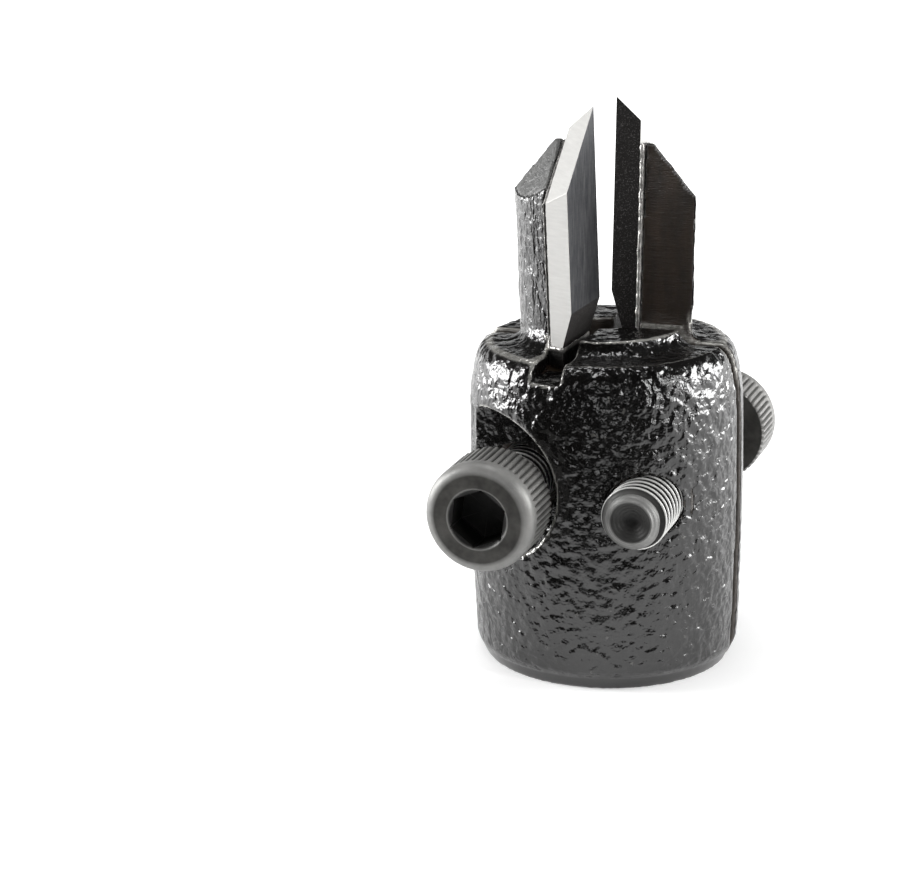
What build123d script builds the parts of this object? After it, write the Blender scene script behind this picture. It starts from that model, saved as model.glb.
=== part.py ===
"""Two-piece clamp-on countersink: two cast halves with brazed carbide plates and two clamp screws.

Millimetres, +Z up. The origin is the centre of the foot face, on the tool's axis. The split between
the halves is the plane Y = 0. The front half lies at -Y and the rear half is the same casting turned
180 degrees about Z, so every rear piece is a turned copy of its front piece.
"""
import math
import os

from build123d import *

# Cast body
body_radius = 10.7            # widest part of the barrel
body_height = 25.6            # foot face to the flat shoulder round the boss
foot_radius = 9.7             # flat face that the tool stands on
foot_chamfer_height = 1.4     # height of the chamfer above the foot face
foot_chamfer_radius = 10.36   # barrel radius where the chamfer ends
barrel_height = 12.0          # height at which the barrel is widest
neck_height = 20.5            # height at which the side starts to turn in
rim_radius = 9.15             # outer edge of the flat shoulder
neck_radius = 10.67           # barrel radius there
rim_round = 1.2               # height of the rounding between the side and the shoulder
rim_round_width = 0.96        # width of that rounding
boss_radius = 6.1             # raised disc in the middle of the shoulder
boss_height = 1.15            # boss above the shoulder
boss_sweep = 1.4              # width of the hollow sweep from the shoulder up to the boss
boss_sweep_mid_width = 0.35   # the hollow's middle, out from the boss's edge
boss_sweep_mid_height = 0.41  # and up from the shoulder

# Split and drill groove
split_gap = 1.1               # daylight between the two halves as assembled
groove_depth = 1.2            # depth of the V groove in each split face
groove_half_width = 3.0       # half the width of the V groove at the split face

# Wing that carries the carbide plate
wing_radius = 7.2             # outer surface of the wing
wing_centre_offset = 2.55     # centre of that surface behind the wing's flat face
wing_lean_deg = 4.6           # the wing leans outwards, away from the split
wing_pivot_height = 21.7      # height at which the leaning wing starts from the split face
wing_shoulder = 36.8          # height of the slanted top at the outer split corner, along the wing
wing_top_rise = 3.95          # flat top of the wing above that corner
front_wing_extra = 0.95       # the front wing is ground this much taller than the rear wing
wing_slope_across = 1.17      # rise of the slanted top for each mm across the wing
wing_slope_deep = 0.85        # rise of the slanted top for each mm towards the split
wing_root_depth = 3.0         # the wing's blank starts this far below the shoulder

# Carbide plate
countersink_angle_deg = 90.0  # included angle of the two cutting edges
plate_turn_deg = 4.0          # the seat is turned about the tool's axis, outer edge trailing
plate_width = 6.1             # split edge to outer cutting corner
plate_thickness = 2.05
plate_face_offset = 0.05      # rake face behind the tool's axis
plate_tip_height = 44.3       # inner end of the cutting edge, along the wing
plate_edge_relief_deg = 41.0  # drop of the top flank behind the cutting edge
plate_side_relief_deg = 20.0  # set-back of the outer flank behind the rake face
plate_foot_bevel = 0.97       # bevel of the rake face at its lower end, across the thickness
plate_foot_bevel_height = 2.95 # and along the plate

# Seat and braze
braze_thickness = 0.30        # film between the plate's back and the wing
braze_foot_length = 1.1       # braze that runs under the plate's lower end
braze_foot_height = 1.25      # thickness of the braze there
seat_floor_height = 24.9      # floor of the milled seat, along the wing
seat_cutter_clearance = 0.05  # the slot runs this far past the tool's axis

# Clamp screws, M5 socket head
screw_offset = 5.53           # screw axis from the tool's axis
screw_height = 14.85          # screw axis above the foot
screw_diameter = 5.0
screw_length = 25.0           # under the head
screw_fit = 0.05              # radial clearance of the threaded hole
clearance_hole_radius = 3.1
head_diameter = 8.6
head_height = 5.0
head_round = 0.9
socket_width = 4.0            # across flats
socket_depth = 2.6
socket_chamfer = 0.15
socket_turn_deg = 22.0
tip_chamfer = 0.85
tip_cup_radius = 1.5
tip_cup_bottom_radius = 0.53
tip_cup_depth = 0.75
counterbore_radius = 5.62
counterbore_offset = 6.6      # counterbore centre from the tool's axis, outside the screw's axis
counterbore_height = 15.5     # counterbore centre above the foot
counterbore_floor = 5.45      # metal between the split face and the counterbore floor
front_screw_standoff = 4.3    # head above its counterbore floor, screw backed off
rear_screw_standoff = 6.4

# Worked out
half_gap = split_gap / 2
boss_top = body_height + boss_height
plate_foot_height = seat_floor_height + braze_foot_height   # along the wing
big = 4 * body_height         # larger than the tool, for cutting tools


def place_wing(shape):
    """Move a shape from the wing's upright frame to its leaning place on the front half.

    In the upright frame Y = 0 is the wing's flat face and Z is the height along the wing.
    """
    upright = Location((0, 0, -wing_pivot_height))
    lean = Location((0, 0, 0), (wing_lean_deg, 0, 0))
    seated = Location((0, -half_gap, wing_pivot_height))
    return seated * lean * upright * shape


def place_plate(shape):
    """Place a shape like the wing, then turn it about the tool's axis as the plate's seat is."""
    turn = Location((0, 0, 0), (0, 0, -plate_turn_deg))
    return turn * place_wing(shape)


def block(x0, x1, y0, y1, z0, z1):
    """Box between two corners."""
    size = (x1 - x0, y1 - y0, z1 - z0)
    centre = ((x0 + x1) / 2, (y0 + y1) / 2, (z0 + z1) / 2)
    return Location(centre) * Box(*size)


def turned_barrel():
    """The whole round casting before it is split: barrel, shoulder and boss."""
    side_top = body_height - rim_round
    side_radius = rim_radius + rim_round_width
    sweep_mid = (boss_radius + boss_sweep_mid_width, body_height + boss_sweep_mid_height)
    with BuildPart() as barrel:
        with BuildSketch(Plane.XZ):
            with BuildLine():
                foot = Line((0, 0), (foot_radius, 0))
                chamfer = Line(foot @ 1, (foot_chamfer_radius, foot_chamfer_height))
                side = ThreePointArc(chamfer @ 1, (body_radius, barrel_height),
                                     (neck_radius, neck_height))
                neck = TangentArc(side @ 1, (side_radius, side_top), tangent=side % 1)
                rim = TangentArc(neck @ 1, (rim_radius, body_height), tangent=neck % 1)
                shoulder = Line(rim @ 1, (boss_radius + boss_sweep, body_height))
                sweep = ThreePointArc(shoulder @ 1, sweep_mid, (boss_radius, boss_top))
                top = Line(sweep @ 1, (0, boss_top))
                Line(top @ 1, foot @ 0)
            make_face()
        revolve(axis=Axis.Z)
    return barrel.part


def keep_below(shape, origin, up):
    """What is left of a shape below the plane through origin whose upper side faces up."""
    plane = Plane(origin=origin, z_dir=up)
    above = plane.location * Box(big, big, big, align=(Align.CENTER, Align.CENTER, Align.MIN))
    return shape - above


def under_wing_top(shape, shoulder):
    """Cut a shape to the wing's flat top and to the slant that falls away outwards."""
    corner_x = -math.sqrt(wing_radius**2 - wing_centre_offset**2)
    slant = (-wing_slope_across, -wing_slope_deep, 1)
    shape = keep_below(shape, (corner_x, 0, shoulder), slant)
    return keep_below(shape, (0, 0, shoulder + wing_top_rise), (0, 0, 1))


def wing_blank(shoulder):
    """Wing in the upright frame: a rounded column with its flat face on the split side."""
    root = body_height - wing_root_depth
    column = Location((0, wing_centre_offset, root)) * Cylinder(
        wing_radius, plate_tip_height - root, align=(Align.CENTER, Align.CENTER, Align.MIN))
    return under_wing_top(column & block(-big, 0, -big, 0, 0, big), shoulder)


def under_top_flank(shape):
    """Cut a shape to the plate's top flank, which holds the cutting edge."""
    fall = math.tan(math.radians(90 - countersink_angle_deg / 2 - wing_lean_deg))
    drop = math.tan(math.radians(plate_edge_relief_deg))
    return keep_below(shape, (-plate_face_offset, 0, plate_tip_height), (-drop, -fall, 1))


def inside_outer_flank(shape):
    """Cut a shape to the plate's outer flank, which runs down from the outer cutting corner."""
    relief = math.tan(math.radians(plate_side_relief_deg))
    return keep_below(shape, (-plate_face_offset, -plate_width, 0), (-relief, -1, 0))


def over_plate_foot(shape):
    """Cut a shape to the plate's lower end, which lies level when the wing leans."""
    level = math.tan(math.radians(wing_lean_deg))
    return keep_below(shape, (0, 0, plate_foot_height), (0, -level, -1))


def plate_blank():
    """Carbide plate in the upright frame, with its cutting edge, flanks and lower bevel."""
    x_face = -plate_face_offset
    plate = block(x_face - plate_thickness, x_face, -plate_width, 0, 0, plate_tip_height)
    plate = over_plate_foot(inside_outer_flank(under_top_flank(plate)))
    level = math.tan(math.radians(wing_lean_deg))
    bevel_top = (x_face, 0, plate_foot_height + plate_foot_bevel_height)
    bevel = (plate_foot_bevel_height, -level * plate_foot_bevel, -plate_foot_bevel)
    return keep_below(plate, bevel_top, bevel)


def braze_blank(shoulder):
    """Braze film behind the plate and under its lower end, in the upright frame."""
    x_back = -plate_face_offset - plate_thickness
    film = block(x_back - braze_thickness, x_back, -plate_width, 0, seat_floor_height, big)
    foot = block(x_back, x_back + braze_foot_length, -plate_width, 0, seat_floor_height, big)
    foot -= over_plate_foot(block(-big, big, -big, big, 0, big))
    film = under_wing_top(film, shoulder) + foot
    return inside_outer_flank(under_top_flank(film))


def seat_wall():
    """All that lies in front of the wall that the plate is brazed to."""
    wall = -plate_face_offset - plate_thickness - braze_thickness
    return block(wall, big, -big, big, 0, big)


def seat_slot():
    """Slot that is milled for the plate, through the boss and out over the rim."""
    return seat_wall() & block(-big, seat_cutter_clearance, -big, big, seat_floor_height, big)


def along_y(radius, x, z, y0, y1):
    """Cylinder that runs along Y from y0 to y1."""
    centre = Location((x, (y0 + y1) / 2, z), (90, 0, 0))
    return centre * Cylinder(radius, y1 - y0)


def half_casting(shoulder):
    """Casting in the front position: half of the barrel with its wing, groove, seat and holes."""
    half = turned_barrel() & block(-big, big, -big, -half_gap, -big, big)
    half += place_wing(wing_blank(shoulder)) - place_plate(seat_wall())
    half -= place_plate(seat_slot())
    groove = Polyline((-groove_half_width, -half_gap), (0, -half_gap - groove_depth),
                      (groove_half_width, -half_gap), close=True)
    half -= extrude(make_face(groove), big)
    floor_y = -half_gap - counterbore_floor
    half -= along_y(clearance_hole_radius, -screw_offset, screw_height, -big, big)
    half -= along_y(counterbore_radius, -counterbore_offset, counterbore_height, -big, floor_y)
    half -= along_y(screw_diameter / 2 + screw_fit, screw_offset, screw_height, -big, big)
    return half


def screw():
    """Socket head cap screw along -Y: underside of the head at the origin, shank along +Y."""
    head = extrude(Plane.XZ * Circle(head_diameter / 2), head_height)
    head = fillet(head.faces().sort_by(Axis.Y)[0].edges(), head_round)
    socket = Plane.XZ * RegularPolygon(socket_width / 2, 6, major_radius=False,
                                       rotation=socket_turn_deg)
    socket = Location((0, -head_height, 0)) * extrude(socket, -socket_depth)
    mouth_radius = socket_width / math.sqrt(3) + socket_chamfer / 2
    mouth = Location((0, -head_height + socket_chamfer / 2, 0), (90, 0, 0)) * Cone(
        mouth_radius - socket_chamfer, mouth_radius, socket_chamfer)
    head -= socket
    head -= mouth
    shank = extrude(Plane.XZ * Circle(screw_diameter / 2), -screw_length)
    shank = chamfer(shank.faces().sort_by(Axis.Y)[-1].edges(), tip_chamfer)
    cup = Location((0, screw_length - tip_cup_depth / 2, 0), (-90, 0, 0)) * Cone(
        tip_cup_bottom_radius, tip_cup_radius, tip_cup_depth)
    return head + shank - cup


def seated_screw(standoff):
    """Screw in the front position, with its head at a distance from the counterbore floor."""
    head_y = -half_gap - counterbore_floor - standoff
    return Location((-screw_offset, head_y, screw_height)) * screw()


def turned(shape):
    """The same piece on the other side of the split."""
    return Location((0, 0, 0), (0, 0, 180)) * shape


def write(name, shape):
    """Write one node's solid."""
    shape.label = name
    export_step(shape, f"parts/{name}.step")


def main():
    os.makedirs("parts", exist_ok=True)
    front_shoulder = wing_shoulder + front_wing_extra
    write("front_half_body", half_casting(front_shoulder))
    write("rear_half_body", turned(half_casting(wing_shoulder)))
    plate = place_plate(plate_blank())
    write("front_carbide_plate", plate)
    write("rear_carbide_plate", turned(plate))
    write("front_braze_seam", place_plate(braze_blank(front_shoulder)))
    write("rear_braze_seam", turned(place_plate(braze_blank(wing_shoulder))))
    write("front_clamp_screw", seated_screw(front_screw_standoff))
    write("rear_clamp_screw", turned(seated_screw(rear_screw_standoff)))


main()
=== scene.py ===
"""Clamp-on countersink: cast halves, carbide plates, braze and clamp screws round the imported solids."""
import math

import bmesh
import bpy
import numpy as np
from bpy.props import FloatProperty, FloatVectorProperty, IntProperty, PointerProperty
from mathutils import Matrix, Vector, noise
from mathutils.bvhtree import BVHTree


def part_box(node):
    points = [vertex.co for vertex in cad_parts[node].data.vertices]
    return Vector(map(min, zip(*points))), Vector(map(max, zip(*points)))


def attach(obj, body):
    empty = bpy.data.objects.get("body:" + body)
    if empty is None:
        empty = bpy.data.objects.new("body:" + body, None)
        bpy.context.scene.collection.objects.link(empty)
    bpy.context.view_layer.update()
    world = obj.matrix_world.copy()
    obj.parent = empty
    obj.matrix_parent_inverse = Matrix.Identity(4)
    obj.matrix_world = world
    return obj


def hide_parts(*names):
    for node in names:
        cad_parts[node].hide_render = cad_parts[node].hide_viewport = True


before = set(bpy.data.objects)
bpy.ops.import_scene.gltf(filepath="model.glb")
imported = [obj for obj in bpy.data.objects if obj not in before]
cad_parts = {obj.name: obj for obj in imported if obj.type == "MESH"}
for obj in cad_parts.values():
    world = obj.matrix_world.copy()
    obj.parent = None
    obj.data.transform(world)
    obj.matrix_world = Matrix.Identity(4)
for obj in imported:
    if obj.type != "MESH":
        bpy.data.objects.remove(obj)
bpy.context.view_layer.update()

bl_info = {
    "name": "Clamp-on Countersink",
    "version": (1, 0, 0),
    "blender": (4, 5, 0),
    "location": "3D View > Sidebar > Countersink",
    "description": "Cast halves, carbide plates, braze seams and clamp screws of a clamp-on countersink",
    "category": "Object",
}

MM = 0.001
SIDES = ("front", "rear")
BLACK = (0.0, 0.0, 0.0)
WHITE = (1.0, 1.0, 1.0)


def length(name, description, millimetres):
    """A size, given in millimetres and kept in metres."""
    return FloatProperty(name=name, description=description, default=millimetres * MM,
                         min=0.0, unit="LENGTH", precision=6)


def share(name, description, default):
    """A number from 0 to 1."""
    return FloatProperty(name=name, description=description, default=default, min=0.0, max=1.0)


def count(name, description, default):
    """A whole number of things."""
    return IntProperty(name=name, description=description, default=default, min=1)


def power(name, description, watts):
    """A lamp's power."""
    return FloatProperty(name=name, description=description, default=watts, min=0.0)


def angle(name, description, degrees):
    """An angle, given in degrees."""
    return FloatProperty(name=name, description=description, default=math.radians(degrees),
                         subtype="ANGLE")


def colour(name, description, rgb):
    """A linear colour."""
    return FloatVectorProperty(name=name, description=description, default=rgb, size=3,
                               min=0.0, max=1.0, subtype="COLOR")


class CastingSettings(bpy.types.PropertyGroup):
    """Skin of the two cast halves."""
    mesh_size: length("Mesh size", "Spacing of the skin's vertices", 0.18)
    edge_passes: count("Edge passes", "Smoothing passes that wear the edges", 2)
    root_passes: count("Root passes", "Smoothing passes at the wing's root", 30)
    bore_offset: length("Counterbore offset", "Distance of the counterbore's axis from the tool's", 6.6)
    bore_height: length("Counterbore height", "Height of the counterbore's axis", 15.5)
    bore_radius: length("Counterbore radius", "Radius of the counterbore", 5.62)
    bore_clearance: length("Counterbore clearance", "Room kept round the screw's head", 0.12)
    bore_passes: count("Counterbore passes", "Smoothing passes that wear its edge", 8)
    swell_size: length("Swell size", "Width of the broad unevenness of the casting", 2.6)
    swell_height: length("Swell height", "Height of that unevenness", 0.05)
    pebble_size: length("Pebble size", "Width of the sand grain on the casting", 0.55)
    pebble_height: length("Pebble height", "Height of the sand grain", 0.06)
    grain_size: length("Grain size", "Width of the fine grain in the paint", 0.40)
    grain_height: length("Grain height", "Height of the fine grain", 0.40)
    paint: colour("Paint", "Black coating", (0.0030, 0.0027, 0.0025))
    milled: colour("Milled faces", "Blackened split faces and wing flats", (0.034, 0.021, 0.012))
    ground: colour("Ground tops", "Ground tops of the wings", (0.13, 0.13, 0.127))
    # bare-iron colour of edges that have lost their coating; also the painted highlight along the
    # counterbore's edge and the painted glints
    worn: colour("Worn edges", "Bare iron where the coating has rubbed off", (0.52, 0.51, 0.48))
    gloss: share("Roughness", "Roughness of the coating", 0.13)


class PlateSettings(bpy.types.PropertyGroup):
    """Carbide plates."""
    edge_round: length("Edge round", "Width of the honed edges", 0.035)
    rake: colour("Rake face", "Satin face that meets the chip", (0.034, 0.0355, 0.040))
    flank: colour("Flanks", "Freshly ground flanks", (0.52, 0.515, 0.50))
    sintered: colour("Inner edge", "Face left as sintered", (0.007, 0.0055, 0.005))
    line_spacing: length("Grinding lines", "Spacing of the grinding lines", 0.11)


class BrazeSettings(bpy.types.PropertyGroup):
    """Braze behind and under the plates."""
    mesh_size: length("Mesh size", "Spacing of the seam's vertices", 0.09)
    bead_size: length("Bead size", "Length of the seam's unevenness", 0.55)
    bead_height: length("Bead height", "How far the seam's edge wanders", 0.15)
    recess: length("Recess", "How far the seam lies back at the plate's outer edge", 0.12)
    silver: colour("Silver", "Colour of the braze", (0.60, 0.585, 0.56))


class ScrewSettings(bpy.types.PropertyGroup):
    """Socket head clamp screws."""
    head_radius: length("Head radius", "Radius over the knurl", 4.3)
    head_height: length("Head height", "Height of the head", 5.0)
    head_round: length("Head round", "Rounding of the head's front edge", 0.9)
    knurl_count: count("Knurl teeth", "Grooves round the head", 54)
    knurl_depth: length("Knurl depth", "Depth of the grooves", 0.17)
    knurl_start: length("Knurl start", "Start of the grooves behind the head's face", 1.15)
    knurl_run: length("Knurl run-out", "Length over which a groove deepens", 0.55)
    socket_width: length("Socket width", "Across the flats of the hex", 4.0)
    socket_depth: length("Socket depth", "Depth of the hex", 2.6)
    socket_lead: length("Socket lead-in", "Chamfer at the mouth of the hex", 0.15)
    pitch: length("Thread pitch", "Advance in one turn", 0.8)
    thread_radius: length("Thread radius", "Radius over the crests", 2.5)
    core_radius: length("Core radius", "Radius at the thread's root", 2.02)
    plain_length: length("Plain length", "Unthreaded shank under the head", 0.9)
    tip_chamfer: length("Tip chamfer", "Chamfer at the tip", 0.85)
    cup_radius: length("Cup radius", "Radius of the dished tip", 1.5)
    cup_depth: length("Cup depth", "Depth of the dish", 0.75)
    oxide: colour("Oxide", "Black oxide coating", (0.030, 0.029, 0.027))
    bright: colour("Bright steel", "Crests and edges that have rubbed bright", (0.80, 0.80, 0.78))


class StageSettings(bpy.types.PropertyGroup):
    """Floor, lamps and camera."""
    bearing: angle("Bearing", "Direction of the camera round the tool", 16.2891)
    distance: length("Distance", "Level distance of the camera from the tool's axis", 188.1919)
    height: length("Height", "Height of the camera above the floor", 74.0689)
    pan: angle("Pan", "Turn of the camera away from the tool's axis", 7.3285)
    tilt: angle("Tilt", "Downward tilt of the camera", 14.8519)
    roll: angle("Roll", "Roll of the camera", -2.0086)
    lens: FloatProperty(name="Lens", description="Focal length in millimetres", default=98.443)
    sensor: FloatProperty(name="Sensor", description="Sensor width in millimetres", default=36.0)
    shift: FloatVectorProperty(name="Shift", description="Lens shift", default=(0.16667, -0.09222), size=2)
    floor: colour("Floor", "Pale floor", (0.86, 0.86, 0.86))
    key: power("Key lamp", "Power of the left lamp in watts", 1.2)
    fill: power("Right lamp", "Power of the right lamp in watts", 0.8)
    top: power("Top lamp", "Power of the overhead lamp in watts", 0.6)
    front: power("Front lamp", "Power of the lamp below the camera in watts", 0.10)
    left_wall: power("Left wall lamp", "Power of the lamp on the left wall in watts", 1.3)
    right_wall: power("Right wall lamp", "Power of the lamp on the right wall in watts", 2.0)
    ambient: share("Ambient", "Strength of the room's even light", 0.32)
    floor_glow: share("Floor glow", "Glow of the floor near the tool, beside the lamps' light", 0.31)
    dark_front: share("Dark front", "How dark the room in front of the tool is in reflections", 1.0)
    ceiling: share("Ceiling", "Brightness of the room above the white wall", 0.04)


class Signal:
    """A node's output; Python's operators join signals and numbers through Math nodes."""

    def __init__(self, graph, socket):
        self.graph = graph
        self.socket = socket

    def __add__(self, other):
        return self.graph.maths("ADD", self, other)

    def __radd__(self, other):
        return self.graph.maths("ADD", other, self)

    def __sub__(self, other):
        return self.graph.maths("SUBTRACT", self, other)

    def __rsub__(self, other):
        return self.graph.maths("SUBTRACT", other, self)

    def __mul__(self, other):
        return self.graph.maths("MULTIPLY", self, other)

    def __rmul__(self, other):
        return self.graph.maths("MULTIPLY", other, self)

    def __truediv__(self, other):
        return self.graph.maths("DIVIDE", self, other)

    def __pow__(self, other):
        return self.graph.maths("POWER", self, other)

    def above(self, edge, softness):
        """0 below the edge and 1 above it, with a ramp of the given softness."""
        return self.graph.maths("MULTIPLY_ADD", self, 1 / softness, 0.5 - edge / softness, clamp=True)


class Graph:
    """Makes the nodes of one tree."""

    def __init__(self, tree):
        self.tree = tree
        tree.nodes.clear()

    def node(self, kind, settings=None, sockets=None, output=0):
        """Make a node: its settings first, then the values or links of its sockets."""
        made = self.tree.nodes.new(kind)
        for name, value in (settings or {}).items():
            setattr(made, name, value)
        for name, value in (sockets or {}).items():
            for part in value if isinstance(value, list) else [value]:
                if isinstance(part, Signal):
                    self.tree.links.new(part.socket, made.inputs[name])
                else:
                    made.inputs[name].default_value = part
        return Signal(self, made.outputs[output]) if made.outputs else made

    def maths(self, operation, *values, clamp=False):
        """A Math node on signals and numbers."""
        settings = {"operation": operation, "use_clamp": clamp}
        return self.node("ShaderNodeMath", settings, dict(enumerate(values)))

    def split(self, vector):
        """The X, Y and Z of a vector."""
        first = self.node("ShaderNodeSeparateXYZ", None, {"Vector": vector})
        outputs = first.socket.node.outputs
        return [Signal(self, outputs[i]) for i in range(3)]

    def join(self, x, y, z):
        """A vector from its X, Y and Z."""
        return self.node("ShaderNodeCombineXYZ", None, {"X": x, "Y": y, "Z": z})

    def place(self, stretch=(1.0, 1.0, 1.0), turn=(0.0, 0.0, 0.0)):
        """Object coordinates, turned and then stretched."""
        at = self.node("ShaderNodeTexCoord", None, None, "Object")
        return self.node("ShaderNodeMapping", {"vector_type": "POINT"},
                         {"Vector": at, "Scale": stretch, "Rotation": turn})

    def noise(self, at, size, detail=2.0, roughness=0.5):
        """Noise whose features are about as wide as the given size in metres."""
        return self.node("ShaderNodeTexNoise", {"noise_dimensions": "3D"},
                         {"Vector": at, "Scale": 1 / size, "Detail": detail, "Roughness": roughness})

    def attribute(self, name):
        """A number that the mesh holds under a name."""
        return self.node("ShaderNodeAttribute", {"attribute_name": name}, None, "Fac")

    def blend(self, factor, first, second):
        """Mix two colours."""
        sockets = {0: factor, 6: rgba(first), 7: rgba(second)}
        return self.node("ShaderNodeMix", {"data_type": "RGBA"}, sockets, 2)

    def bump(self, height, distance):
        """Normals of a surface that rises by the distance where the height is 1."""
        sockets = {"Height": height, "Distance": distance, "Strength": 1.0}
        return self.node("ShaderNodeBump", None, sockets, "Normal")

    def surface(self, **sockets):
        """A Principled shader on the material's output; underscores stand for spaces."""
        values = {name.replace("_", " "): value for name, value in sockets.items()}
        shader = self.node("ShaderNodeBsdfPrincipled", None, values)
        self.node("ShaderNodeOutputMaterial", None, {"Surface": shader})


def rgba(value):
    """A colour with its alpha; a signal is passed on."""
    return value if isinstance(value, Signal) else (*value, 1.0)


def dimmed(rgb, factor):
    """A darker or lighter shade of a colour."""
    return [channel * factor for channel in rgb]


def new_material(name):
    """A material with an empty tree."""
    material = bpy.data.materials.new(name)
    material.use_nodes = True
    return material, Graph(material.node_tree)


def cast_material(settings):
    """Black coating over cast iron: sand grain, milled and ground faces, bare iron at edges that have lost
    their coating, a painted highlight along the counterbore's edge, and painted glints.
    """
    # ramps on the noises, each with its edge and its softness
    rub_ramp, glint_ramp, patch_ramp = (0.47, 0.14), (0.44, 0.06), (0.55, 0.2)
    stain_ramp, bare_ramp = (0.53, 0.35), (0.5, 0.45)
    # stretches along X, Y and Z
    drawn_out, marks, streaky = (1.3, 1.3, 0.55), (0.6, 1.0, 6.0), (1.0, 1.0, 0.22)
    material, g = new_material("black_cast_iron")
    milled = g.attribute("milled")
    ground = g.attribute("ground")
    worn = g.attribute("worn")
    wing = g.attribute("wing")
    cast = (1 - milled) * (1 - ground) * (1 - g.attribute("foot"))

    at = g.place()
    drawn = g.place(stretch=drawn_out)
    round_grain = g.noise(at, settings.grain_size * 2.4, 1.2, 0.45)
    long_grain = g.noise(drawn, settings.grain_size * 2, 1.8, 0.55)
    grain = round_grain * (1 - wing) + long_grain * wing
    pits = g.noise(at, settings.grain_size * 0.9, 1.0)
    blotch = g.noise(at, settings.swell_size * 1.4, 3.0)
    mottle = g.noise(at, settings.pebble_size * 1.1, 4.0, 0.7)
    scratches = g.noise(g.place(stretch=marks), settings.pebble_size, 3.0, 0.6)
    streaks = g.noise(g.place(stretch=streaky), settings.pebble_size * 2.2, 3.0, 0.65)

    # bare iron at edges that have lost their coating, with a painted highlight along the counterbore's edge
    rubbed = worn * (0.25 + 0.75 * (mottle * 0.6 + blotch * 0.4).above(*rub_ramp))
    # painted glints: sparse bright specks of bare-iron colour blended into the paint's base colour
    painted_glints = (pits * grain).above(*glint_ramp) * cast * blotch.above(*patch_ramp)
    stained = g.blend(streaks.above(*stain_ramp), dimmed(settings.milled, 0.4), settings.milled)
    base = g.blend(milled, settings.paint, stained)
    bare = g.blend(mottle.above(*bare_ramp), settings.ground, dimmed(settings.ground, 0.45))
    base = g.blend(ground, base, bare)
    base = g.blend(rubbed, base, settings.worn)
    base = g.blend(painted_glints * 0.15, base, settings.worn)

    roughness = settings.gloss + 0.16 * blotch + 0.14 * milled + 0.12 * ground
    metallic = g.maths("MAXIMUM", rubbed * 0.7, ground * 0.3)
    height = cast * (grain * 0.8 + pits * 0.2) + 0.22 * milled * scratches + 0.25 * ground * mottle
    normal = g.bump(height, settings.grain_height)
    g.surface(Base_Color=base, Roughness=roughness, Metallic=metallic, Normal=normal,
              Specular_IOR_Level=0.85)
    return material


def carbide_material(settings):
    """Sintered carbide: satin rake face, ground flanks with fine lines, dark inner edge."""
    # ramps on the noises, each with its edge and its softness
    cloud_ramp, scratch_ramp = (0.5, 1.2), (0.60, 0.3)
    line_ramp, speck_ramp = (0.5, 0.5), (0.62, 0.14)
    material, g = new_material("ground_carbide")
    flank = g.attribute("flank")
    sintered = g.attribute("sintered")
    cloud_size = 6.0 * MM
    speck_size = 0.11 * MM
    line_depth = 0.012 * MM
    at = g.place()
    level = g.place(stretch=(0.15, 0.15, 1.0))
    upright = g.place(stretch=(1.0, 2.2, 0.10), turn=(0.3, 0.0, 0.0))
    across = g.noise(level, settings.line_spacing * 2, 2.0, 0.6)
    along = g.noise(upright, settings.line_spacing * 2, 2.0, 0.6)
    cloud = g.noise(at, cloud_size, 1.0)
    specks = g.noise(at, speck_size, 2.0, 0.7)

    rake = g.blend(cloud.above(*cloud_ramp), settings.rake, dimmed(settings.rake, 0.75))
    rake = g.blend(along.above(*scratch_ramp) * 0.16, rake, settings.flank)
    bright = g.blend(across.above(*line_ramp) * 0.30, settings.flank, dimmed(settings.flank, 0.62))
    base = g.blend(flank, rake, bright)
    dark = g.blend(specks.above(*speck_ramp) * 0.14, settings.sintered, settings.flank)
    base = g.blend(sintered, base, dark)
    metallic = 0.7 - 0.5 * sintered - 0.5 * flank
    roughness = 0.36 + 0.12 * across + 0.12 * sintered + 0.08 * flank
    lines = flank * across + (1 - flank) * (1 - sintered) * along * 0.7 + sintered * specks * 1.4
    normal = g.bump(lines, line_depth)
    g.surface(Base_Color=base, Roughness=roughness, Metallic=metallic, Normal=normal,
              Specular_IOR_Level=0.35)
    return material


def braze_material(settings):
    """Silver braze: bright and uneven, with painted shade in its hollows, where it lies back at the plate's
    outer edges and in the seat under the plate.
    """
    material, g = new_material("silver_braze")
    ripple_depth = 0.05 * MM
    bead_ramp = (0.44, 0.3)
    at = g.place()
    beads = g.noise(at, settings.bead_size, 3.0, 0.6)
    fine = g.noise(at, settings.bead_size * 0.25, 2.0)
    base = g.blend(beads.above(*bead_ramp), dimmed(settings.silver, 0.35), settings.silver)
    # painted shade: the braze is darkened almost to black in its hollows
    base = g.blend(g.attribute("dull"), base, dimmed(settings.silver, 0.04))
    normal = g.bump(beads + fine * 0.5, ripple_depth)
    g.surface(Base_Color=base, Roughness=0.28 + 0.2 * fine, Metallic=0.75, Normal=normal)
    return material


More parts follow.
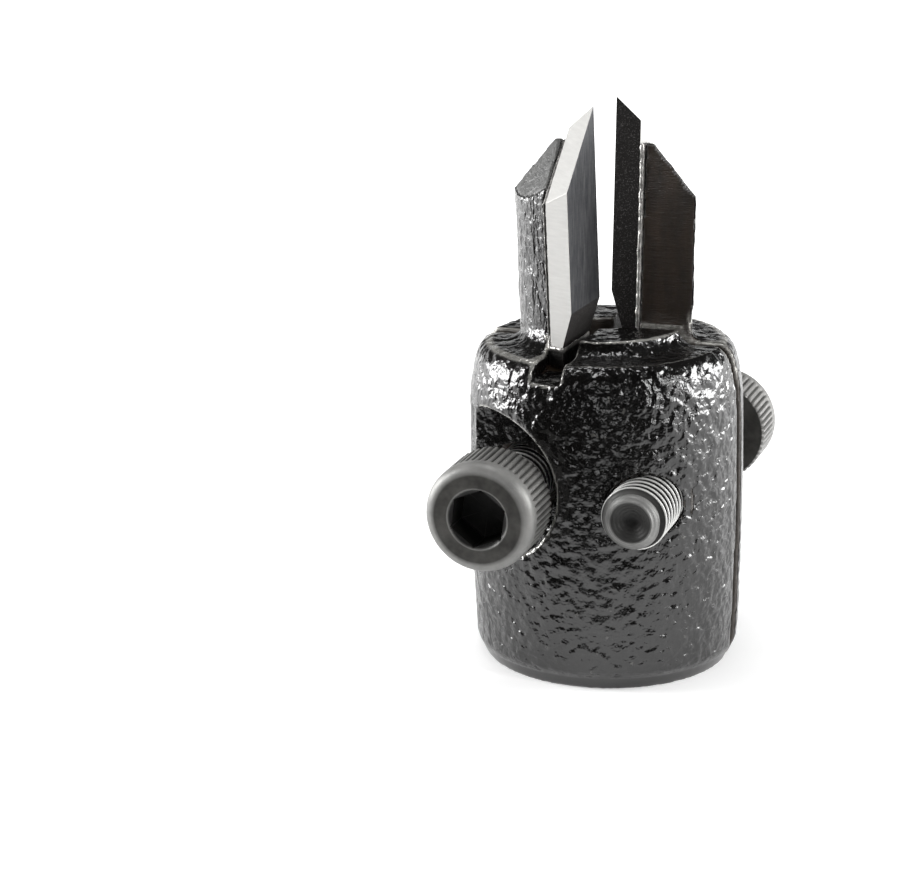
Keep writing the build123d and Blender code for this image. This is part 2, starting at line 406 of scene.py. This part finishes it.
def screw_material(settings):
    """Black oxide, rubbed bright on crests and edges, with turning marks and painted shade inside the hex
    socket.
    """
    material, g = new_material("black_oxide_steel")
    bright = g.attribute("bright")
    from_axis = g.attribute("from_axis")
    turned = g.attribute("turned")
    cloud_size = 1.6 * MM
    grit_size = 0.12 * MM
    ring_spacing = 0.26 * MM
    mark_depth = 0.02 * MM
    crest_ramp = (settings.thread_radius / MM - 0.08, 0.06)
    cloud_ramp = (0.5, 0.35)
    at = g.place()
    cloud = g.noise(at, cloud_size, 3.0, 0.6)
    grit = g.noise(at, grit_size, 2.0, 0.6)
    rings = g.maths("SINE", from_axis * (2 * math.pi * MM / ring_spacing)) * 0.5 + 0.5
    crest = g.attribute("on_shank") * from_axis.above(*crest_ramp)
    rub = g.maths("MULTIPLY", g.maths("MAXIMUM", bright, crest), 0.75 + 0.6 * cloud, clamp=True)
    base = g.blend(cloud.above(*cloud_ramp), settings.oxide, dimmed(settings.oxide, 2.4))
    base = g.blend(g.attribute("on_shank") * 0.8, base, BLACK)
    base = g.blend(rub, base, settings.bright)
    # painted shade: the inside of the hex socket is darkened almost to black
    base = g.blend(g.attribute("deep") * 0.85, base, BLACK)
    roughness = 0.40 + 0.14 * cloud - 0.10 * rub
    metallic = 0.2 + 0.25 * rub
    normal = g.bump(grit * 0.6 + rings * turned, mark_depth)
    g.surface(Base_Color=base, Roughness=roughness, Metallic=metallic, Normal=normal,
              Specular_IOR_Level=0.35)
    return material


def link(name, mesh, material=None):
    """An object for a mesh, in the scene, with the material if one is given."""
    obj = bpy.data.objects.new(name, mesh)
    bpy.context.scene.collection.objects.link(obj)
    if material is not None:
        mesh.materials.clear()
        mesh.materials.append(material)
    return obj


def finish_piece(obj, body, node):
    """Hand a finished piece over in place of its node."""
    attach(obj, body)
    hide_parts(node)


def welded(node):
    """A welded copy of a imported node."""
    weld_distance = 0.001 * MM
    solid = bmesh.new()
    solid.from_mesh(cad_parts[node].data)
    bmesh.ops.remove_doubles(solid, verts=solid.verts, dist=weld_distance)
    return solid


def evaluated(obj):
    """The object's mesh with its modifiers applied; the object itself is removed."""
    graph = bpy.context.evaluated_depsgraph_get()
    mesh = bpy.data.meshes.new_from_object(obj.evaluated_get(graph), depsgraph=graph)
    bpy.data.objects.remove(obj)
    return mesh


def skin(node, mesh_size):
    """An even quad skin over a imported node, with a search tree of the node's own faces."""
    solid = welded(node)
    tree = BVHTree.FromBMesh(solid)
    mesh = bpy.data.meshes.new(node)
    solid.to_mesh(mesh)
    solid.free()
    obj = link(node + "_blank", mesh)
    remesh = obj.modifiers.new("Skin", "REMESH")
    remesh.mode = "VOXEL"
    remesh.voxel_size = mesh_size
    return evaluated(obj), tree


def arrays(mesh):
    """Vertex places, vertex normals and edges as arrays."""
    at = np.empty(len(mesh.vertices) * 3, np.float32)
    mesh.vertices.foreach_get("co", at)
    normal = np.empty(len(at), np.float32)
    mesh.vertex_normals.foreach_get("vector", normal)
    edges = np.empty(len(mesh.edges) * 2, np.int32)
    mesh.edges.foreach_get("vertices", edges)
    return at.reshape(-1, 3).astype(float), normal.reshape(-1, 3).astype(float), edges.reshape(-1, 2)


def put_back(mesh, at):
    """Move a mesh's vertices to new places."""
    mesh.vertices.foreach_set("co", at.astype(np.float32).ravel())
    mesh.update()


def relax(at, edges, strength, passes):
    """Move each vertex towards the mean of its neighbours."""
    degree = np.bincount(edges.ravel(), minlength=len(at))[:, None]
    for _ in range(passes):
        total = np.zeros_like(at)
        np.add.at(total, edges[:, 0], at[edges[:, 1]])
        np.add.at(total, edges[:, 1], at[edges[:, 0]])
        at = at + strength[:, None] * (total / degree - at)
    return at


def store(mesh, domain="POINT", **values):
    """Keep a number for each vertex or face under each name; the materials read them."""
    for name, numbers in values.items():
        attribute = mesh.attributes.new(name, "FLOAT", domain)
        attribute.data.foreach_set("value", np.asarray(numbers, np.float32))


def ramp(values, low, high):
    """0 below low, 1 above high and smooth between."""
    t = np.clip((values - low) / (high - low), 0, 1)
    return t * t * (3 - 2 * t)


def front_place(side, vectors):
    """Places or normals of either half, turned to the front half's side of the tool."""
    return vectors * (1, 1, 1) if side == "front" else vectors * (-1, -1, 1)


def casting_zones(place, normal):
    """Shares of milled, ground, wing and foot surface at each vertex of the front half."""
    # limits in millimetres
    split_depth, split_top = 1.9, 27.0
    flat_foot, wing_foot, wing_full, top_foot = 25.5, 26.0, 28.5, 34.0
    slot_left, slot_right, slot_floor, slot_foot, slot_top = -2.8, 0.5, 25.2, 24.4, 27.5
    hole_reach = 3.2
    chamfer_start, chamfer_end = 0.9, 1.7
    # how far a normal leans towards an axis: 0 square to it and 1 along it
    loosely, squarely, sideways, hole_wall = 0.35, 0.8, 0.7, 0.6
    x, y, z = place.T / MM
    nx, ny, nz = normal.T
    low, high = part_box("front_clamp_screw")
    axis_x = (low.x + high.x) / 2 / MM
    axis_z = (low.z + high.z) / 2 / MM
    split = (y > -split_depth) & (ny > loosely) & (z < split_top)
    flat = (z > flat_foot) & (ny > squarely)
    in_slot = (x > slot_left) & (x < slot_right) & (z > slot_foot) & (z < slot_top)
    slot = in_slot & ((abs(nx) > sideways) | ((nz > squarely) & (z < slot_floor)))
    hole = (np.hypot(abs(x) - abs(axis_x), z - axis_z) < hole_reach) & (abs(ny) < hole_wall)
    milled = (split | flat | slot | hole).astype(float)
    ground = ((z > top_foot) & (nz > loosely)).astype(float)
    wing = ramp(z, wing_foot, wing_full)
    foot = 1 - ramp(z, chamfer_start, chamfer_end)
    return milled * (1 - ground), ground, wing, foot


def swell_and_wear(settings, solid, at, normal):
    """Height of the casting's unevenness, and how much of the solid's edge is gone, at each vertex."""
    rise = np.empty(len(at))
    lost = np.empty(len(at))
    for i, (p, n) in enumerate(zip(at, normal)):
        point = Vector(p)
        nearest = solid.find_nearest(point)[0]
        lost[i] = (nearest - point).dot(Vector(n))
        rise[i] = (settings.swell_height * noise.noise(point / settings.swell_size)
                   + settings.pebble_height * noise.noise(point / settings.pebble_size))
    return rise, lost


class COUNTERSINK_OT_castings(bpy.types.Operator):
    """Make the skins of the two cast halves"""
    bl_idname = "countersink.castings"
    bl_label = "Cast Halves"

    def execute(self, context):
        settings = context.scene.countersink_casting
        material = cast_material(settings)
        # ramps in millimetres, each with its start and its end
        root_foot, root_top, root_side = (25.2, 25.9), (27.3, 28.6), (2.6, 3.2)
        rim_foot, rim_top = (22.0, 23.5), (27.0, 28.0)
        bore_lip, bore_edge_width, edge_depth, skin_depth = (0.05, 0.4), (0.3, 0.8), (6.4, 7.0), (4.6, 5.2)
        wear, wear_elsewhere = (0.012, 0.04), 0.05
        for side in SIDES:
            node = side + "_half_body"
            mesh, solid = skin(node, settings.mesh_size)
            at, normal, edges = arrays(mesh)
            place = front_place(side, at)
            x, y, z = place.T / MM
            from_bore = np.hypot(place[:, 0] + settings.bore_offset, place[:, 2] - settings.bore_height)
            past_bore = (from_bore - settings.bore_radius) / MM
            outside = ramp(past_bore, *bore_lip)
            inside = (1 - outside) * ramp(-y, *skin_depth)
            bore_edge = (1 - ramp(abs(past_bore), *bore_edge_width)) * ramp(-y, *edge_depth)
            wing_root = ramp(z, *root_foot) * (1 - ramp(z, *root_top)) * ramp(-x, *root_side)
            at = relax(at, edges, np.full(len(at), 0.5), settings.edge_passes)
            at = relax(at, edges, 0.5 * wing_root, settings.root_passes)
            at = relax(at, edges, 0.5 * bore_edge, settings.bore_passes)
            put_back(mesh, at)
            normal = arrays(mesh)[1]
            milled, ground, wing, foot = casting_zones(front_place(side, at), front_place(side, normal))
            cast = (1 - milled) * (1 - ground) * (1 - foot)
            rise, lost = swell_and_wear(settings, solid, at, normal)
            rise = rise * cast * outside - settings.bore_clearance * inside
            put_back(mesh, at + normal * rise[:, None])
            # the rim's edges are bare iron; along the counterbore's edge the same bare-iron colour is a
            # painted highlight
            rim = np.maximum(ramp(z, *rim_foot) * (1 - ramp(z, *rim_top)), bore_edge)
            worn = ramp(lost / MM, *wear) * (wear_elsewhere + (1 - wear_elsewhere) * rim)
            store(mesh, milled=milled, ground=ground, wing=wing, foot=foot, worn=worn)
            mesh.shade_smooth()
            obj = link(side + "_casting", mesh, material)
            finish_piece(obj, side + "_half", node)
        return {"FINISHED"}


class COUNTERSINK_OT_plates(bpy.types.Operator):
    """Make the two carbide plates with honed edges"""
    bl_idname = "countersink.plates"
    bl_label = "Carbide Plates"

    def execute(self, context):
        settings = context.scene.countersink_plate
        material = carbide_material(settings)
        coplanar = math.radians(1)
        for side in SIDES:
            node = side + "_carbide_plate"
            solid = welded(node)
            bmesh.ops.dissolve_limit(solid, angle_limit=coplanar, verts=solid.verts, edges=solid.edges)
            bmesh.ops.bevel(solid, geom=solid.edges[:], offset=settings.edge_round, segments=2,
                            profile=0.5, affect="EDGES", clamp_overlap=True)
            bmesh.ops.triangulate(solid, faces=[f for f in solid.faces if len(f.verts) > 4])
            solid.normal_update()
            mesh = bpy.data.meshes.new(node)
            solid.to_mesh(mesh)
            solid.free()
            normal = np.array([p.normal for p in mesh.polygons], float)
            nx, ny, nz = front_place(side, normal).T
            flank = (ny < -0.7) | (nz > 0.3) | (nx < -0.8)
            inner_edge = ny > 0.7
            lower_bevel = (nx > 0.3) & (nz < -0.05)
            store(mesh, "FACE", flank=flank, sintered=inner_edge | lower_bevel)
            obj = link(side + "_plate", mesh, material)
            finish_piece(obj, side + "_half", node)
        return {"FINISHED"}


class COUNTERSINK_OT_brazing(bpy.types.Operator):
    """Make the uneven braze behind and under the plates"""
    bl_idname = "countersink.brazing"
    bl_label = "Braze Seams"

    def execute(self, context):
        settings = context.scene.countersink_braze
        material = braze_material(settings)
        # ramps in millimetres, each with its start and its end
        plate_foot, seat_foot = (26.4, 27.2), (25.7, 26.0)
        swell_share = 0.4
        for side in SIDES:
            node = side + "_braze_seam"
            mesh, _ = skin(node, settings.mesh_size)
            at, normal, edges = arrays(mesh)
            at = relax(at, edges, np.full(len(at), 0.4), 1)
            thin = 1 - ramp(abs(normal[:, 0]), 0.5, 0.9)
            wander = np.array([noise.noise(Vector(p) / settings.bead_size) for p in at])
            _, ny, nz = front_place(side, normal).T
            z = at[:, 2] / MM
            on_edge = np.maximum(ramp(-ny, 0.4, 0.8), ramp(nz, 0.4, 0.8))
            under_plate = 1 - ramp(z, *plate_foot)
            in_seat = 1 - ramp(z, *seat_foot)
            # painted shade where the seam lies back at the plate's outer edges and in the seat under the
            # plate; the same mask sinks the seam there
            dull = np.maximum(on_edge * (1 - under_plate), in_seat)
            rise = settings.bead_height * (wander + swell_share) * (1 - dull) - settings.recess * dull
            put_back(mesh, at + normal * (rise * thin)[:, None])
            store(mesh, dull=dull)
            mesh.shade_smooth()
            obj = link(side + "_braze", mesh, material)
            finish_piece(obj, side + "_half", node)
        return {"FINISHED"}


def hex_phase(node, axis, side, settings):
    """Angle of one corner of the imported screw's hex, seen along the screw."""
    best = max((v.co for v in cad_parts[node].data.vertices
                if socket_floor(v.co, axis, side, settings)),
               key=lambda p: math.hypot(p.x - axis.x, p.z - axis.z))
    across = best.x - axis.x if side == "front" else axis.x - best.x
    return math.atan2(-(best.z - axis.z), across)


def socket_floor(point, axis, side, settings):
    """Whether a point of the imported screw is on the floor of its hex."""
    along = point.y - axis.y if side == "front" else axis.y - point.y
    depth = settings.head_height + along
    tolerance = 0.02 * MM
    return abs(depth - settings.socket_depth) < tolerance


def mouth_radius(settings):
    """Radius of the hex socket's chamfered mouth."""
    return settings.socket_width / math.sqrt(3) + settings.socket_lead / 2


def screw_blank(settings, shank, phase):
    """Turned screw along Z: underside of the head at Z = 0 and the tip at Z = shank."""
    lip, outer_lip = 0.10 * MM, 0.16 * MM
    knurl_end, rim_chamfer, neck_chamfer = 0.5 * MM, 0.18 * MM, 0.25 * MM
    columns_per_tooth, round_steps, run_steps, cup_steps = 6, 8, 5, 6
    columns = settings.knurl_count * columns_per_tooth
    turn = np.arange(columns) * 2 * math.pi / columns
    sixth = math.pi / 3
    half_width = settings.socket_width / 2
    hexagon = half_width / np.cos((turn - phase) % sixth - sixth / 2)
    face = -settings.head_height
    socket_bottom = face + settings.socket_depth
    mouth = mouth_radius(settings)
    rows = [(hexagon, socket_bottom),
            (hexagon, face + settings.socket_lead * 1.2),
            (np.maximum(hexagon, mouth - settings.socket_lead), face + settings.socket_lead),
            (mouth, face), (mouth + lip, face), (mouth + outer_lip, face)]
    centre = settings.head_radius - settings.head_round
    for k in range(round_steps + 1):
        bend = math.pi / 2 * k / round_steps
        rows.append((centre + settings.head_round * math.sin(bend),
                     face + settings.head_round * (1 - math.cos(bend))))
    start = face + settings.knurl_start
    for k in range(run_steps + 1):
        rows.append((settings.head_radius, start + settings.knurl_run * k / run_steps))
    tip_radius = settings.thread_radius - settings.tip_chamfer
    rows += [(settings.head_radius, -knurl_end), (settings.head_radius, -rim_chamfer),
             (settings.head_radius - rim_chamfer, 0.0), (settings.core_radius + neck_chamfer, 0.0),
             (settings.core_radius, neck_chamfer), (settings.core_radius, shank * 0.5),
             (settings.core_radius, shank - (settings.core_radius - tip_radius)),
             (tip_radius, shank), (settings.cup_radius, shank)]
    for k in range(1, cup_steps):
        rows.append((settings.cup_radius * (1 - k / cup_steps),
                     shank - settings.cup_depth * math.sin(math.pi / 2 * k / cup_steps)))
    return lathe(rows, turn, socket_bottom, shank - settings.cup_depth)


def lathe(rows, turn, first, last):
    """Closed mesh of revolution from rows of radius and height; a radius may vary round the turn.

    The first and the last row are closed to points on the axis at the given heights.
    """
    columns = len(turn)
    points = []
    for radius, height in rows:
        ring = np.broadcast_to(radius, turn.shape)
        points += list(zip(ring * np.cos(turn), ring * np.sin(turn), np.full(columns, height)))
    faces = []
    for row in range(len(rows) - 1):
        for i in range(columns):
            j = (i + 1) % columns
            a, b = row * columns, (row + 1) * columns
            faces.append((a + i, a + j, b + j, b + i))
    points += [(0.0, 0.0, first), (0.0, 0.0, last)]
    pole = len(rows) * columns
    for i in range(columns):
        j = (i + 1) % columns
        faces.append((j, i, pole))
        faces.append((pole - columns + i, pole - columns + j, pole + 1))
    mesh = bpy.data.meshes.new("screw_blank")
    mesh.from_pydata([tuple(map(float, p)) for p in points], [], faces)
    return mesh


THREAD_INPUTS = (("Knurl Teeth", "NodeSocketInt"), ("Knurl Depth", "NodeSocketFloat"),
                 ("Knurl Start", "NodeSocketFloat"), ("Knurl Run", "NodeSocketFloat"),
                 ("Head Radius", "NodeSocketFloat"), ("Pitch", "NodeSocketFloat"),
                 ("Crest Radius", "NodeSocketFloat"), ("Root Radius", "NodeSocketFloat"),
                 ("Thread Start", "NodeSocketFloat"), ("Tip", "NodeSocketFloat"),
                 ("Tip Radius", "NodeSocketFloat"), ("Material", "NodeSocketMaterial"))


def screw_tree():
    """Geometry nodes that sink the knurl into a turned blank and wind the thread round it."""
    rim_margin, least_radius = 0.01 * MM, 0.1 * MM
    buried, tip_gap, weld_distance = 0.12 * MM, 0.02 * MM, 0.002 * MM
    per_turn, profile_rows = 60, 5
    root_share, crest_share = 0.45, 0.07
    start_fade, end_fade = 2.0, 8.0
    tree = bpy.data.node_groups.new("Knurl and thread", "GeometryNodeTree")
    tree.interface.new_socket("Geometry", in_out="OUTPUT", socket_type="NodeSocketGeometry")
    tree.interface.new_socket("Geometry", in_out="INPUT", socket_type="NodeSocketGeometry")
    for name, kind in THREAD_INPUTS:
        tree.interface.new_socket(name, in_out="INPUT", socket_type=kind)
    g = Graph(tree)
    group = g.node("NodeGroupInput").socket.node
    given = {socket.name: Signal(g, socket) for socket in group.outputs if socket.name}

    x, y, z = g.split(g.node("GeometryNodeInputPosition"))
    radius = (x * x + y * y) ** 0.5
    turn = g.maths("ARCTAN2", y, x)
    groove = g.maths("MAXIMUM", g.maths("COSINE", turn * given["Knurl Teeth"]), 0.0)
    run = g.maths("DIVIDE", z - given["Knurl Start"], given["Knurl Run"], clamp=True)
    on_rim = g.maths("GREATER_THAN", radius, given["Head Radius"] - rim_margin)
    on_head = g.maths("LESS_THAN", z, 0.0)
    sunk = given["Knurl Depth"] * groove * run * on_rim * on_head
    keep = 1 - sunk / g.maths("MAXIMUM", radius, least_radius)
    head = g.node("GeometryNodeSetPosition", None,
                  {"Geometry": given["Geometry"], "Position": g.join(x * keep, y * keep, z)})

    turns = g.maths("CEIL", (given["Tip"] - given["Thread Start"]) / given["Pitch"])
    grid = g.node("GeometryNodeMeshGrid", None, {
        "Size X": 1.0, "Size Y": 1.0, "Vertices X": turns * per_turn, "Vertices Y": profile_rows})
    u, v, _ = g.split(g.node("GeometryNodeInputPosition"))
    u = u + 0.5
    row = g.maths("ROUND", (v + 0.5) * (profile_rows - 1))
    low_crest = g.maths("COMPARE", row, 1.0, 0.1)
    high_crest = g.maths("COMPARE", row, 2.0, 0.1)
    high_root = g.maths("COMPARE", row, 3.0, 0.1)
    crest = low_crest + high_crest
    low_root = 1 - crest - high_root
    swing = u * turns * (2 * math.pi)
    climb = given["Thread Start"] + u * (given["Tip"] - given["Thread Start"])
    run_in = g.maths("MULTIPLY", u * turns, start_fade, clamp=True)
    run_out = g.maths("MULTIPLY", (1 - u) * turns, end_fade, clamp=True)
    fade = run_in * run_out
    depth = given["Crest Radius"] - given["Root Radius"]
    inside = given["Root Radius"] - buried
    lift = crest * (depth + buried) * fade
    spread = given["Pitch"] * (root_share * high_root - root_share * low_root
                               + crest_share * high_crest - crest_share * low_crest)
    along = g.maths("MINIMUM", climb + spread * fade, given["Tip"] - tip_gap)
    limit = given["Tip Radius"] + (given["Tip"] - along)
    out = g.maths("MINIMUM", inside + lift, limit)
    coil = g.node("GeometryNodeSetPosition", None, {
        "Geometry": grid,
        "Position": g.join(out * g.maths("COSINE", swing), out * g.maths("SINE", swing), along)})
    coil = g.node("GeometryNodeMergeByDistance", None, {"Geometry": coil, "Distance": weld_distance})
    both = g.node("GeometryNodeJoinGeometry", None, {"Geometry": [head, coil]})
    made = g.node("GeometryNodeRealizeInstances", None, {"Geometry": both})
    made = g.node("GeometryNodeSetMaterial", None, {"Geometry": made, "Material": given["Material"]})
    g.node("NodeGroupOutput", None, {"Geometry": made})
    return tree


def set_inputs(modifier, values):
    """Set a geometry nodes modifier's inputs through their identifiers."""
    for item in modifier.node_group.interface.items_tree:
        if item.item_type == "SOCKET" and item.in_out == "INPUT" and item.name in values:
            modifier[item.identifier] = values[item.name]


def mark_screw(mesh, settings, shank):
    """Store the distance from the axis, the bright crests and edges, the turned faces, and the painted
    shade inside the hex socket.
    """
    edge_width, band_width, shank_start = 0.05 * MM, 0.3 * MM, 0.3 * MM
    bright_tip, bright_edge, bright_mouth, turned_face = 0.03, 0.22, 0.15, 0.12
    at = arrays(mesh)[0]
    z = at[:, 2]
    radius = np.hypot(at[:, 0], at[:, 1])
    tip = ramp(z, shank - settings.tip_chamfer, shank - settings.tip_chamfer * 0.5)
    face = -settings.head_height
    centre = settings.head_radius - settings.head_round
    band = ramp(radius, centre, centre + band_width) * (z < 0)
    knurl = ramp(radius, settings.head_radius - settings.knurl_depth, settings.head_radius)
    band *= np.maximum(knurl, z < face + settings.knurl_start)
    mouth = mouth_radius(settings)
    rim = (abs(radius - mouth) < edge_width) & (z < face + settings.socket_lead * 0.5)
    chamfer = tip * ramp(radius, settings.cup_radius, settings.cup_radius + edge_width)
    bright = bright_tip * tip + bright_edge * (chamfer + band) + bright_mouth * rim
    store(mesh, bright=np.clip(bright, 0, 1),
          on_shank=z > shank_start,
          # painted shade inside the hex socket
          deep=(radius < mouth - settings.socket_lead * 0.6) & (z < 0),
          from_axis=radius / MM,
          turned=np.clip(tip + turned_face * (abs(z - face) < edge_width), 0, 1))


class COUNTERSINK_OT_screws(bpy.types.Operator):
    """Make the two socket head clamp screws with their knurl and thread"""
    bl_idname = "countersink.screws"
    bl_label = "Clamp Screws"

    def execute(self, context):
        settings = context.scene.countersink_screw
        material = screw_material(settings)
        tree = screw_tree()
        weld_distance = 0.0005 * MM
        sharp = math.radians(38)
        for side in SIDES:
            node = side + "_clamp_screw"
            low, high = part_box(node)
            under = low.y + settings.head_height if side == "front" else high.y - settings.head_height
            axis = Vector(((low.x + high.x) / 2, under, (low.z + high.z) / 2))
            shank = high.y - low.y - settings.head_height
            phase = hex_phase(node, axis, side, settings)
            blank = link(node + "_blank", screw_blank(settings, shank, phase))
            modifier = blank.modifiers.new("Dressing", "NODES")
            modifier.node_group = tree
            set_inputs(modifier, {
                "Knurl Teeth": settings.knurl_count, "Knurl Depth": settings.knurl_depth,
                "Knurl Start": settings.knurl_start - settings.head_height, "Knurl Run": settings.knurl_run,
                "Head Radius": settings.head_radius, "Pitch": settings.pitch,
                "Crest Radius": settings.thread_radius, "Root Radius": settings.core_radius,
                "Thread Start": settings.plain_length, "Tip": shank,
                "Tip Radius": settings.thread_radius - settings.tip_chamfer, "Material": material})
            mesh = evaluated(blank)
            welded_mesh = bmesh.new()
            welded_mesh.from_mesh(mesh)
            bmesh.ops.remove_doubles(welded_mesh, verts=welded_mesh.verts, dist=weld_distance)
            bmesh.ops.recalc_face_normals(welded_mesh, faces=welded_mesh.faces)
            welded_mesh.to_mesh(mesh)
            welded_mesh.free()
            mark_screw(mesh, settings, shank)
            mesh.shade_smooth()
            mesh.set_sharp_from_angle(angle=sharp)
            lay_down = Matrix(((1, 0, 0), (0, 0, 1), (0, -1, 0))).to_4x4()
            half_turn = Matrix.Rotation(0.0 if side == "front" else math.pi, 4, "Z")
            mesh.transform(Matrix.Translation(axis) @ half_turn @ lay_down)
            mesh.update()
            obj = link(side + "_screw", mesh)
            finish_piece(obj, side + "_screw", node)
        return {"FINISHED"}


# each lamp's name, the setting that holds its power, its place, and its width and height
LAMPS = (("key_lamp", "key", (-0.40, -0.14, 0.20), (0.13, 0.18)),
         ("right_lamp", "fill", (0.44, -0.14, 0.20), (0.05, 0.30)),
         ("top_lamp", "top", (-0.04, 0.02, 0.50), (0.16, 0.16)),
         ("front_lamp", "front", (0.08, -0.42, 0.08), (0.20, 0.04)),
         ("left_wall_lamp", "left_wall", (-0.37, -0.01, 0.07), (0.24, 0.12)),
         ("right_wall_lamp", "right_wall", (0.36, 0.16, 0.10), (0.30, 0.14)))


def add_lamps(settings):
    """Soft rectangular lamps, all aimed at the middle of the tool."""
    middle = Vector((0, 0, 0.02))
    for name, field, place, size in LAMPS:
        lamp = bpy.data.lights.new(name, "AREA")
        lamp.shape = "RECTANGLE"
        lamp.size, lamp.size_y = size
        lamp.energy = getattr(settings, field)
        obj = bpy.data.objects.new(name, lamp)
        bpy.context.scene.collection.objects.link(obj)
        obj.location = place
        obj.rotation_euler = (middle - Vector(place)).to_track_quat("-Z", "Y").to_euler()


def seen_directly(g):
    """1 for rays from the camera and for reflections and refractions, else 0."""
    path = g.node("ShaderNodeLightPath").socket.node.outputs
    seen = [Signal(g, path[name]) for name in ("Is Camera Ray", "Is Glossy Ray", "Is Transmission Ray")]
    return g.maths("MAXIMUM", g.maths("MAXIMUM", seen[0], seen[1]), seen[2])


def in_front(g, y, edge, softness):
    """1 for reflections of what lies in front of the tool, towards -Y."""
    glossy = g.node("ShaderNodeLightPath", None, None, "Is Glossy Ray")
    return glossy * (0 - y).above(edge, softness)


def add_floor(settings):
    """Pale floor that glows far from the tool and is dark in reflections ahead of it."""
    reach = 3.0
    far_edge, far_width = 0.13, 0.20
    front_edge, front_width = 0.037, 0.03
    material, g = new_material("white_floor")
    shade = g.node("ShaderNodeBsdfDiffuse", None, {"Color": rgba(settings.floor)})
    x, y, _ = g.split(g.node("ShaderNodeTexCoord", None, None, "Object"))
    far = ((x * x + y * y) ** 0.5).above(far_edge, far_width)
    strength = settings.floor_glow + (1 - settings.floor_glow) * far
    glow = g.node("ShaderNodeEmission", None, {"Color": rgba(WHITE), "Strength": strength})
    unseen = g.node("ShaderNodeEmission", None, {"Color": rgba(BLACK), "Strength": 0.0})
    lit = g.node("ShaderNodeMixShader", None, {0: seen_directly(g), 1: unseen, 2: glow})
    both = g.node("ShaderNodeAddShader", None, {0: shade, 1: lit})
    ahead = in_front(g, y, front_edge, front_width) * settings.dark_front
    both = g.node("ShaderNodeMixShader", None, {0: ahead, 1: both, 2: unseen})
    g.node("ShaderNodeOutputMaterial", None, {"Surface": both})
    mesh = bpy.data.meshes.new("floor")
    corners = [(-reach, -reach, 0), (reach, -reach, 0), (reach, reach, 0), (-reach, reach, 0)]
    mesh.from_pydata(corners, [], [(0, 1, 2, 3)])
    link("floor", mesh, material)


def add_room(settings, scene):
    """Even light, with white walls, a dim ceiling and a dark front in reflections."""
    wall_top, wall_width = 0.2, 0.2
    front_edge, front_width = 0.1, 0.5
    world = bpy.data.worlds.new("room")
    scene.world = world
    world.use_nodes = True
    g = Graph(world.node_tree)
    direct = seen_directly(g)
    _, y, z = g.split(g.node("ShaderNodeTexCoord", None, None, "Generated"))
    wall = 1 - (1 - settings.ceiling) * z.above(wall_top, wall_width)
    wall = wall * (1 - in_front(g, y, front_edge, front_width) * settings.dark_front)
    strength = direct * wall + (1 - direct) * settings.ambient
    light = g.node("ShaderNodeBackground", None, {"Color": rgba(WHITE), "Strength": strength})
    g.node("ShaderNodeOutputWorld", None, {"Surface": light})


def add_camera(settings, scene):
    """Camera on its bearing, then panned, tilted and rolled."""
    camera = bpy.data.cameras.new("camera")
    camera.lens = settings.lens
    camera.sensor_width = settings.sensor
    camera.shift_x, camera.shift_y = settings.shift
    camera.clip_start = 10 * MM
    obj = bpy.data.objects.new("camera", camera)
    scene.collection.objects.link(obj)
    scene.camera = obj
    heading = settings.bearing + settings.pan
    forward = Vector((-math.sin(heading) * math.cos(settings.tilt),
                      math.cos(heading) * math.cos(settings.tilt), -math.sin(settings.tilt)))
    level = forward.cross(Vector((0, 0, 1))).normalized()
    upright = level.cross(forward)
    right = level * math.cos(settings.roll) + upright * math.sin(settings.roll)
    up = upright * math.cos(settings.roll) - level * math.sin(settings.roll)
    turn = Matrix((right, up, -forward)).transposed().to_4x4()
    place = Vector((math.sin(settings.bearing) * settings.distance,
                    -math.cos(settings.bearing) * settings.distance, settings.height))
    obj.matrix_world = Matrix.Translation(place) @ turn


class COUNTERSINK_OT_stage(bpy.types.Operator):
    """Make the floor, the lamps, the room's light and the camera"""
    bl_idname = "countersink.stage"
    bl_label = "Stage"

    def execute(self, context):
        settings = context.scene.countersink_stage
        context.scene.view_settings.view_transform = "Standard"
        add_floor(settings)
        add_room(settings, context.scene)
        add_lamps(settings)
        add_camera(settings, context.scene)
        return {"FINISHED"}


STEPS = (COUNTERSINK_OT_castings, COUNTERSINK_OT_plates, COUNTERSINK_OT_brazing, COUNTERSINK_OT_screws,
         COUNTERSINK_OT_stage)


class VIEW3D_PT_countersink(bpy.types.Panel):
    """Pieces of the countersink"""
    bl_label = "Countersink"
    bl_space_type = "VIEW_3D"
    bl_region_type = "UI"
    bl_category = "Countersink"

    def draw(self, context):
        for step in STEPS:
            self.layout.operator(step.bl_idname)
        for name in SETTINGS:
            group = getattr(context.scene, name)
            box = self.layout.box()
            for field in group.bl_rna.properties:
                if field.identifier not in {"rna_type", "name"}:
                    box.prop(group, field.identifier)


SETTINGS = {
    "countersink_casting": CastingSettings,
    "countersink_plate": PlateSettings,
    "countersink_braze": BrazeSettings,
    "countersink_screw": ScrewSettings,
    "countersink_stage": StageSettings,
}


def register():
    """Register the classes and give the scene its settings."""
    for kind in (*SETTINGS.values(), *STEPS, VIEW3D_PT_countersink):
        bpy.utils.register_class(kind)
    for name, kind in SETTINGS.items():
        setattr(bpy.types.Scene, name, PointerProperty(type=kind))


def unregister():
    """Take the settings and the classes away again."""
    for name in SETTINGS:
        delattr(bpy.types.Scene, name)
    for kind in reversed((*SETTINGS.values(), *STEPS, VIEW3D_PT_countersink)):
        bpy.utils.unregister_class(kind)


def main():
    """Make every piece and the stage."""
    register()
    bpy.ops.countersink.castings()
    bpy.ops.countersink.plates()
    bpy.ops.countersink.brazing()
    bpy.ops.countersink.screws()
    bpy.ops.countersink.stage()


if __name__ == "__main__":
    main()
